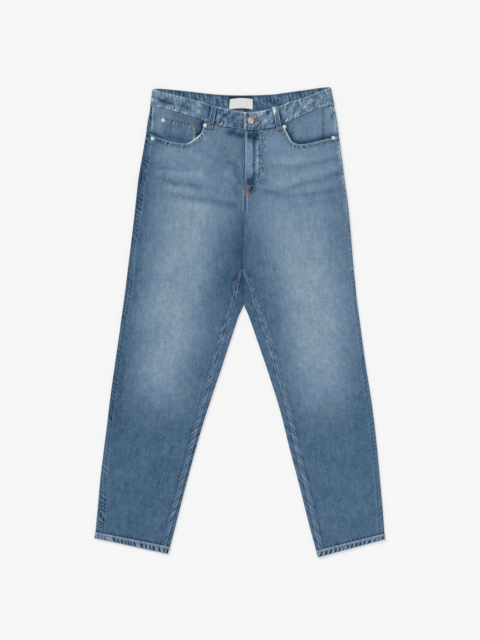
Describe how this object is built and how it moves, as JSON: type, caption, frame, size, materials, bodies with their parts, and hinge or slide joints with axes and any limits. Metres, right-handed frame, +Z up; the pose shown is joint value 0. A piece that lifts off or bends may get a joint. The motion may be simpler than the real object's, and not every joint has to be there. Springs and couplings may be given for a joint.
{
  "type": "jeans",
  "caption": "Blue washed denim jeans laid flat, front up: tapered legs, puckered waistband with loops, scoop pockets, coin pocket, lapped fly under a button, and turned hems.",
  "frame": {"origin": "on the surface the jeans lie on, under the middle of the garment's outline", "axes": "+X to the wearer's left, +Y from the hems to the waist, +Z up from the surface, out of the front"},
  "size_m": [0.6404, 1.0332, 0.0131],
  "materials": {
    "denim_front": "washed indigo denim, faded on the thighs, matt",
    "denim_back": "washed indigo denim, matt",
    "denim_waistband": "washed indigo denim, puckered and rubbed along its edges, matt",
    "denim_pockets": "washed indigo denim, little faded, matt",
    "denim_loops": "washed indigo denim, rubbed along its edges, matt",
    "denim_hems": "washed indigo denim, rubbed pale along its edge, matt",
    "woven_label": "plain white satin weave, blank",
    "rivets": "nickel plated, rubbed",
    "button": "worn copper plated, soft sheen",
    "topstitch_thread": "tan and blue-grey spun polyester thread"
  },
  "bodies": {
    "root": {"front_panel_right": "denim_front", "front_panel_left": "denim_front", "back_panel_right": "denim_back", "back_panel_left": "denim_back", "back_yoke_right": "denim_back", "back_yoke_left": "denim_back", "waistband": "denim_waistband", "pocket_facing_right": "denim_pockets", "pocket_facing_left": "denim_pockets", "coin_pocket": "denim_pockets", "back_pocket_right": "denim_pockets", "back_pocket_left": "denim_pockets", "belt_loop_front_right": "denim_loops", "belt_loop_front_left": "denim_loops", "belt_loop_back_right": "denim_loops", "belt_loop_back_centre": "denim_loops", "belt_loop_back_left": "denim_loops", "hem_right": "denim_hems", "hem_left": "denim_hems", "label": "woven_label", "rivet_coin_pocket": "rivets", "rivet_right_side": "rivets", "rivet_right_inner": "rivets", "rivet_left_inner": "rivets", "rivet_left_side": "rivets", "button": "button"}
  },
  "joints": []
}
